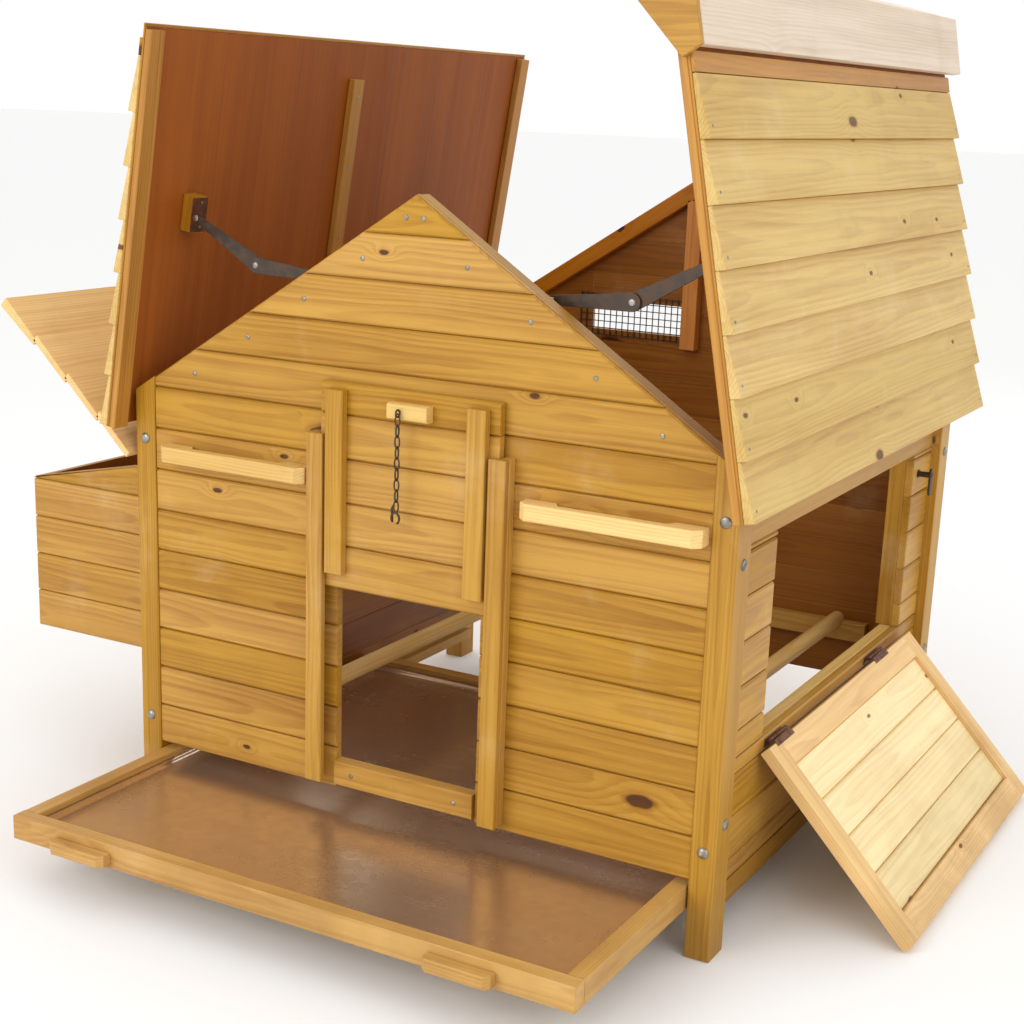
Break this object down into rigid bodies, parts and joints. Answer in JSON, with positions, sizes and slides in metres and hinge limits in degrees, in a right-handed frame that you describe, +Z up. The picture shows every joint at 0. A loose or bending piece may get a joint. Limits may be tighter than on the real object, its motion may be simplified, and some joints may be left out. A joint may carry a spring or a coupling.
{
  "type": "chicken coop",
  "caption": "Timber hen house with hinged roof halves on folding stays, lifting pop door, pull-out tray, drop-down side door and a side nest box with a lid.",
  "frame": {"origin": "middle of the footprint of the opened coop, on the ground", "axes": "+X to the right along the front with the side door on +X, +Y from the front wall into the depth, +Z up"},
  "size_m": [1.5028, 1.438, 1.3155],
  "materials": {
    "post_front_left": "honey-stained knotty pine",
    "post_back_left": "honey-stained knotty pine",
    "post_front_right": "honey-stained knotty pine",
    "post_back_right": "honey-stained knotty pine",
    "front_wall_left": "honey-stained knotty pine",
    "front_wall_right": "honey-stained knotty pine",
    "front_wall_upper": "honey-stained knotty pine",
    "pop_hole_sill": "pale pine",
    "pop_guide_left": "honey-stained knotty pine",
    "pop_guide_right": "honey-stained knotty pine",
    "grab_handle_left": "pale pine",
    "grab_handle_right": "pale pine",
    "rafter_front_left": "honey-stained knotty pine",
    "rafter_front_right": "honey-stained knotty pine",
    "back_wall_lower": "honey-stained knotty pine",
    "back_wall_gable": "honey-stained knotty pine",
    "vent_mesh": "dark welded wire",
    "side_beam_right": "honey-stained knotty pine",
    "side_beam_left": "honey-stained knotty pine",
    "side_wall_right_front": "honey-stained knotty pine",
    "side_wall_right_back": "honey-stained knotty pine",
    "side_wall_right_lower": "honey-stained knotty pine",
    "side_wall_left_lower": "honey-stained knotty pine",
    "side_wall_left_back": "honey-stained knotty pine",
    "nest_end_front": "honey-stained knotty pine",
    "nest_end_back": "honey-stained knotty pine",
    "nest_outer_wall": "honey-stained knotty pine",
    "nest_floor": "honey-stained knotty pine",
    "nest_divider": "honey-stained knotty pine",
    "tray_runner_left": "honey-stained knotty pine",
    "tray_runner_right": "honey-stained knotty pine",
    "perch_left": "pale pine",
    "perch_right": "pale pine",
    "perch_rest_back": "honey-stained knotty pine",
    "roof_deck_left": "red-brown plywood with a thin varnish",
    "roof_cladding_left": "pale weathered pine with a honey stain",
    "roof_batten_front_left": "honey-stained knotty pine",
    "roof_batten_middle_left": "honey-stained knotty pine",
    "roof_batten_back_left": "honey-stained knotty pine",
    "roof_deck_right": "red-brown plywood with a thin varnish",
    "roof_cladding_right": "pale weathered pine with a honey stain",
    "roof_batten_front_right": "honey-stained knotty pine",
    "roof_batten_middle_right": "honey-stained knotty pine",
    "roof_batten_back_right": "honey-stained knotty pine",
    "ridge_cap": "pale weathered pine with a honey stain",
    "stay_upper_left": "dark lacquered steel strip",
    "stay_lower_left": "dark lacquered steel strip",
    "stay_upper_right": "dark lacquered steel strip",
    "stay_lower_right": "dark lacquered steel strip",
    "pop_door": "honey-stained knotty pine",
    "pop_door_chain": "black japanned steel",
    "tray_front_rail": "honey-stained knotty pine",
    "tray_back_rail": "honey-stained knotty pine",
    "tray_left_rail": "honey-stained knotty pine",
    "tray_right_rail": "honey-stained knotty pine",
    "tray_sheet": "satin galvanised sheet",
    "side_door_frame": "honey-stained knotty pine",
    "side_door_boards": "pale weathered pine with a honey stain",
    "door_button": "black japanned steel",
    "nest_lid": "pale weathered pine with a honey stain"
  },
  "bodies": {
    "coop": {"post_front_left": "post_front_left", "post_back_left": "post_back_left", "post_front_right": "post_front_right", "post_back_right": "post_back_right", "front_wall_left": "front_wall_left", "front_wall_right": "front_wall_right", "front_wall_upper": "front_wall_upper", "pop_hole_sill": "pop_hole_sill", "pop_guide_left": "pop_guide_left", "pop_guide_right": "pop_guide_right", "grab_handle_left": "grab_handle_left", "grab_handle_right": "grab_handle_right", "rafter_front_left": "rafter_front_left", "rafter_front_right": "rafter_front_right", "back_wall_lower": "back_wall_lower", "back_wall_gable": "back_wall_gable", "vent_mesh": "vent_mesh", "side_beam_right": "side_beam_right", "side_beam_left": "side_beam_left", "side_wall_right_front": "side_wall_right_front", "side_wall_right_back": "side_wall_right_back", "side_wall_right_lower": "side_wall_right_lower", "side_wall_left_lower": "side_wall_left_lower", "side_wall_left_back": "side_wall_left_back", "nest_end_front": "nest_end_front", "nest_end_back": "nest_end_back", "nest_outer_wall": "nest_outer_wall", "nest_floor": "nest_floor", "nest_divider": "nest_divider", "tray_runner_left": "tray_runner_left", "tray_runner_right": "tray_runner_right", "perch_left": "perch_left", "perch_right": "perch_right", "perch_rest_back": "perch_rest_back"},
    "roof_left": {"roof_deck_left": "roof_deck_left", "roof_cladding_left": "roof_cladding_left", "roof_batten_front_left": "roof_batten_front_left", "roof_batten_middle_left": "roof_batten_middle_left", "roof_batten_back_left": "roof_batten_back_left"},
    "roof_right": {"roof_deck_right": "roof_deck_right", "roof_cladding_right": "roof_cladding_right", "roof_batten_front_right": "roof_batten_front_right", "roof_batten_middle_right": "roof_batten_middle_right", "roof_batten_back_right": "roof_batten_back_right", "ridge_cap": "ridge_cap"},
    "stay_upper_left": {"stay_upper_left": "stay_upper_left"},
    "stay_lower_left": {"stay_lower_left": "stay_lower_left"},
    "stay_upper_right": {"stay_upper_right": "stay_upper_right"},
    "stay_lower_right": {"stay_lower_right": "stay_lower_right"},
    "pop_door": {"pop_door": "pop_door"},
    "pop_door_chain": {"pop_door_chain": "pop_door_chain"},
    "tray": {"tray_front_rail": "tray_front_rail", "tray_back_rail": "tray_back_rail", "tray_left_rail": "tray_left_rail", "tray_right_rail": "tray_right_rail", "tray_sheet": "tray_sheet"},
    "side_door": {"side_door_frame": "side_door_frame", "side_door_boards": "side_door_boards"},
    "door_button": {"door_button": "door_button"},
    "nest_lid": {"nest_lid": "nest_lid"}
  },
  "joints": [
    {"name": "roof_left_hinge", "type": "hinge", "parent": "coop", "child": "roof_left", "pos_m": [-0.48136, 0.15, 0.684], "axis": [0, 1, 0], "range_deg": [0, 48.6]},
    {"name": "roof_right_hinge", "type": "hinge", "parent": "coop", "child": "roof_right", "pos_m": [0.51864, 0.15, 0.684], "axis": [0, 1, 0], "range_deg": [-46.1, 0]},
    {"name": "stay_left_roof_pin", "type": "hinge", "parent": "roof_left", "child": "stay_upper_left", "pos_m": [-0.41132, -0.3043, 0.94339], "axis": [0, 1, 0], "range_deg": [-53.3, 0]},
    {"name": "stay_left_elbow", "type": "hinge", "parent": "stay_upper_left", "child": "stay_lower_left", "pos_m": [-0.29701, -0.306, 0.88147], "axis": [0, 1, 0], "range_deg": [-110.5, 0]},
    {"name": "stay_right_roof_pin", "type": "hinge", "parent": "roof_right", "child": "stay_upper_right", "pos_m": [0.43735, -0.3043, 0.94009], "axis": [0, 1, 0], "range_deg": [0, 48.1]},
    {"name": "stay_right_elbow", "type": "hinge", "parent": "stay_upper_right", "child": "stay_lower_right", "pos_m": [0.32244, -0.306, 0.87931], "axis": [0, 1, 0], "range_deg": [0, 105.8]},
    {"name": "pop_door_slide", "type": "slide", "parent": "coop", "child": "pop_door", "axis": [0, 0, 1], "range_m": [-0.272, 0]},
    {"name": "chain_swing", "type": "hinge", "parent": "pop_door", "child": "pop_door_chain", "pos_m": [0.02114, -0.4055, 0.704], "axis": [0, 1, 0], "range_deg": [-25, 25]},
    {"name": "tray_slide", "type": "slide", "parent": "coop", "child": "tray", "axis": [0, 1, 0], "range_m": [0, 0.328]},
    {"name": "side_door_hinge", "type": "hinge", "parent": "coop", "child": "side_door", "pos_m": [0.51064, 0.146, 0.26], "axis": [0, 1, 0], "range_deg": [-136.6, 0]},
    {"name": "button_turn", "type": "hinge", "parent": "coop", "child": "door_button", "pos_m": [0.51364, 0.505, 0.535], "axis": [1, 0, 0], "range_deg": [-90, 0]},
    {"name": "nest_lid_hinge", "type": "hinge", "parent": "coop", "child": "nest_lid", "pos_m": [-0.47736, 0.04, 0.56], "axis": [0, 1, 0], "range_deg": [-51.8, 0]}
  ],
  "couplings": [
    {"joint": "stay_left_roof_pin", "follows": "roof_left_hinge", "ratio": -1.0933},
    {"joint": "stay_left_elbow", "follows": "roof_left_hinge", "ratio": -2.2683},
    {"joint": "stay_right_roof_pin", "follows": "roof_right_hinge", "ratio": -1.0396},
    {"joint": "stay_right_elbow", "follows": "roof_right_hinge", "ratio": -2.2886}
  ]
}
